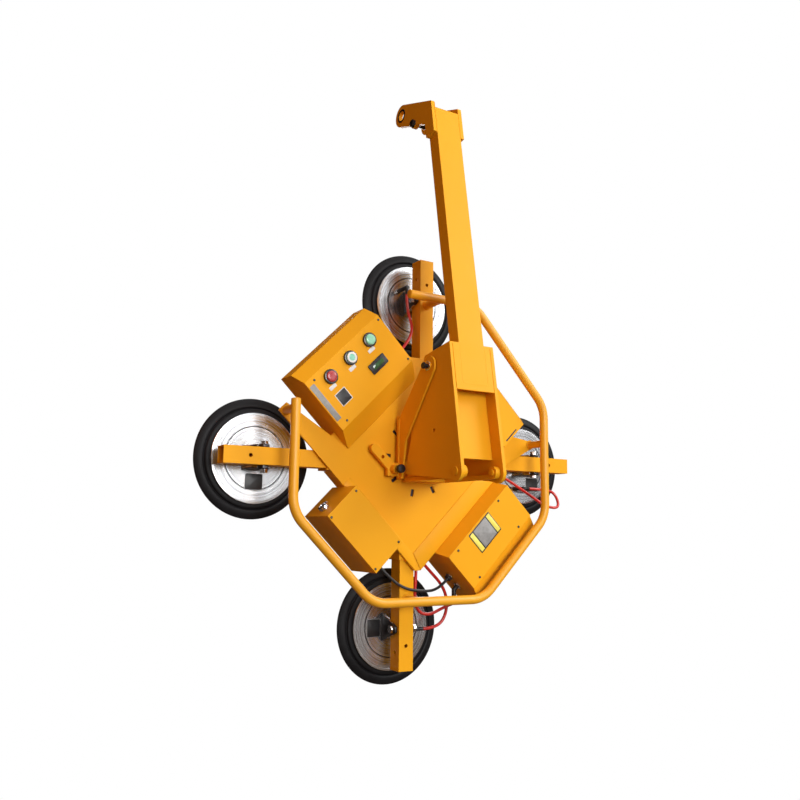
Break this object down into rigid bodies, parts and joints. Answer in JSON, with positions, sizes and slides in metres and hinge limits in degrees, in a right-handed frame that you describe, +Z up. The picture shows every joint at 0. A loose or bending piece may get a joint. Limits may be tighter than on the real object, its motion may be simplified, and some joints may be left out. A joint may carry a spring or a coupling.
{
  "type": "vacuum glass panel lifter",
  "caption": "Hoist-hung vacuum lifter for glass panels: suction cups on cross arms round a turning, tilting frame with control housings and a handrail.",
  "frame": {"origin": "centre of the lifting eye in the boom head, midway between its two plates", "axes": "+X across along the eye, +Y from the operator towards the glass, +Z up"},
  "size_m": [1.22, 0.422, 1.692],
  "materials": {
    "paint_yellow": "gloss amber-yellow paint",
    "black_oxide_steel": "black oxide",
    "bright_steel": "zinc plated",
    "cup_aluminium": "turned",
    "seal_rubber": "matt",
    "black_plastic": "matt",
    "red_hose": "satin",
    "cable_black": "satin",
    "bezel_metal": "polished",
    "button_green": "gloss",
    "button_mint": "gloss",
    "button_red": "gloss",
    "board_green": "matt",
    "pump_alloy": "cast",
    "tank_steel": "matt"
  },
  "bodies": {
    "boom": {"boom_tube": "paint_yellow", "head_plate_right": "paint_yellow", "head_plate_left": "paint_yellow", "head_stop_bolt": "black_oxide_steel", "yoke_cheek_right": "paint_yellow", "yoke_cheek_left": "paint_yellow", "yoke_front_plate": "paint_yellow", "yoke_back_plate": "paint_yellow", "yoke_foot_plate": "paint_yellow", "hinge_pin": "paint_yellow"},
    "turret": {"turret_base_plate": "paint_yellow", "turret_gusset_right": "paint_yellow", "turret_gusset_left": "paint_yellow", "turret_shelf": "paint_yellow", "bearing_spindle": "bright_steel", "spindle_retainer": "bright_steel"},
    "frame": {"bearing_outer_ring": "paint_yellow", "face_plate": "paint_yellow", "frame_skirt": "paint_yellow", "arm_receivers": "paint_yellow", "arm_top": "paint_yellow", "arm_bottom": "paint_yellow", "arm_right": "paint_yellow", "arm_left": "paint_yellow", "arm_bolts": "bright_steel", "console_shell": "paint_yellow", "display": "black_plastic", "button_bezels": "bezel_metal", "control_board": "board_green", "battery_box": "paint_yellow", "battery_box_lid": "paint_yellow", "battery": "black_plastic", "charging_socket": "black_plastic", "pump_box": "paint_yellow", "pump_box_lid": "paint_yellow", "vacuum_pump": "pump_alloy", "valve_box": "paint_yellow", "valve_box_lid": "paint_yellow", "vacuum_reservoir": "tank_steel", "handrail": "paint_yellow", "rail_posts": "paint_yellow", "cord_fittings": "black_plastic", "hose_top": "red_hose", "hose_bottom": "red_hose", "hose_feed": "red_hose", "hose_right": "red_hose", "cable_battery": "cable_black"},
    "index_plunger": {"index_plunger": "black_oxide_steel"},
    "latch_plunger": {"latch_plunger": "black_oxide_steel"},
    "button_start": {"button_start": "button_green"},
    "button_lamp": {"button_lamp": "button_mint"},
    "button_release": {"button_release": "button_red"},
    "cup_top": {"cup_plate_top": "cup_aluminium", "cup_seal_top": "seal_rubber"},
    "cup_bottom": {"cup_plate_bottom": "cup_aluminium", "cup_seal_bottom": "seal_rubber"},
    "cup_right": {"cup_plate_right": "cup_aluminium", "cup_seal_right": "seal_rubber"},
    "cup_left": {"cup_plate_left": "cup_aluminium", "cup_seal_left": "seal_rubber"}
  },
  "joints": [
    {"name": "boom_tilt", "type": "hinge", "parent": "boom", "child": "turret", "pos_m": [0, -0.309, -1.084], "axis": [-1, 0, 0], "range_deg": [0, 95]},
    {"name": "frame_rotation", "type": "hinge", "parent": "turret", "child": "frame", "pos_m": [0, -0.028, -1.03], "axis": [0, 1, 0], "continuous": true},
    {"name": "index_plunger_slide", "type": "slide", "parent": "turret", "child": "index_plunger", "axis": [0, 1, 0], "range_m": [0, 0.008]},
    {"name": "tilt_latch_slide", "type": "slide", "parent": "turret", "child": "latch_plunger", "axis": [1, 0, 0], "range_m": [0, 0.01]},
    {"name": "button_start_press", "type": "slide", "parent": "frame", "child": "button_start", "axis": [0, 1, 0], "range_m": [0, 0.0028], "stiffness_N_per_m": 800, "springref_m": -0.003},
    {"name": "button_lamp_press", "type": "slide", "parent": "frame", "child": "button_lamp", "axis": [0, 1, 0], "range_m": [0, 0.0028], "stiffness_N_per_m": 800, "springref_m": -0.003},
    {"name": "button_release_press", "type": "slide", "parent": "frame", "child": "button_release", "axis": [0, 1, 0], "range_m": [0, 0.0028], "stiffness_N_per_m": 800, "springref_m": -0.003},
    {"name": "cup_top_swivel", "type": "hinge", "parent": "frame", "child": "cup_top", "pos_m": [0.032, 0.0058, -0.561], "axis": [1, 0, 0], "range_deg": [-5, 5]},
    {"name": "cup_bottom_swivel", "type": "hinge", "parent": "frame", "child": "cup_bottom", "pos_m": [-0.028, 0.0058, -1.499], "axis": [1, 0, 0], "range_deg": [-5, 5]},
    {"name": "cup_right_swivel", "type": "hinge", "parent": "frame", "child": "cup_right", "pos_m": [0.45, 0.0058, -1.026], "axis": [0, 0, 1], "range_deg": [-5, 5]},
    {"name": "cup_left_swivel", "type": "hinge", "parent": "frame", "child": "cup_left", "pos_m": [-0.45, 0.0058, -1.048], "axis": [0, 0, 1], "range_deg": [-5, 5]}
  ]
}
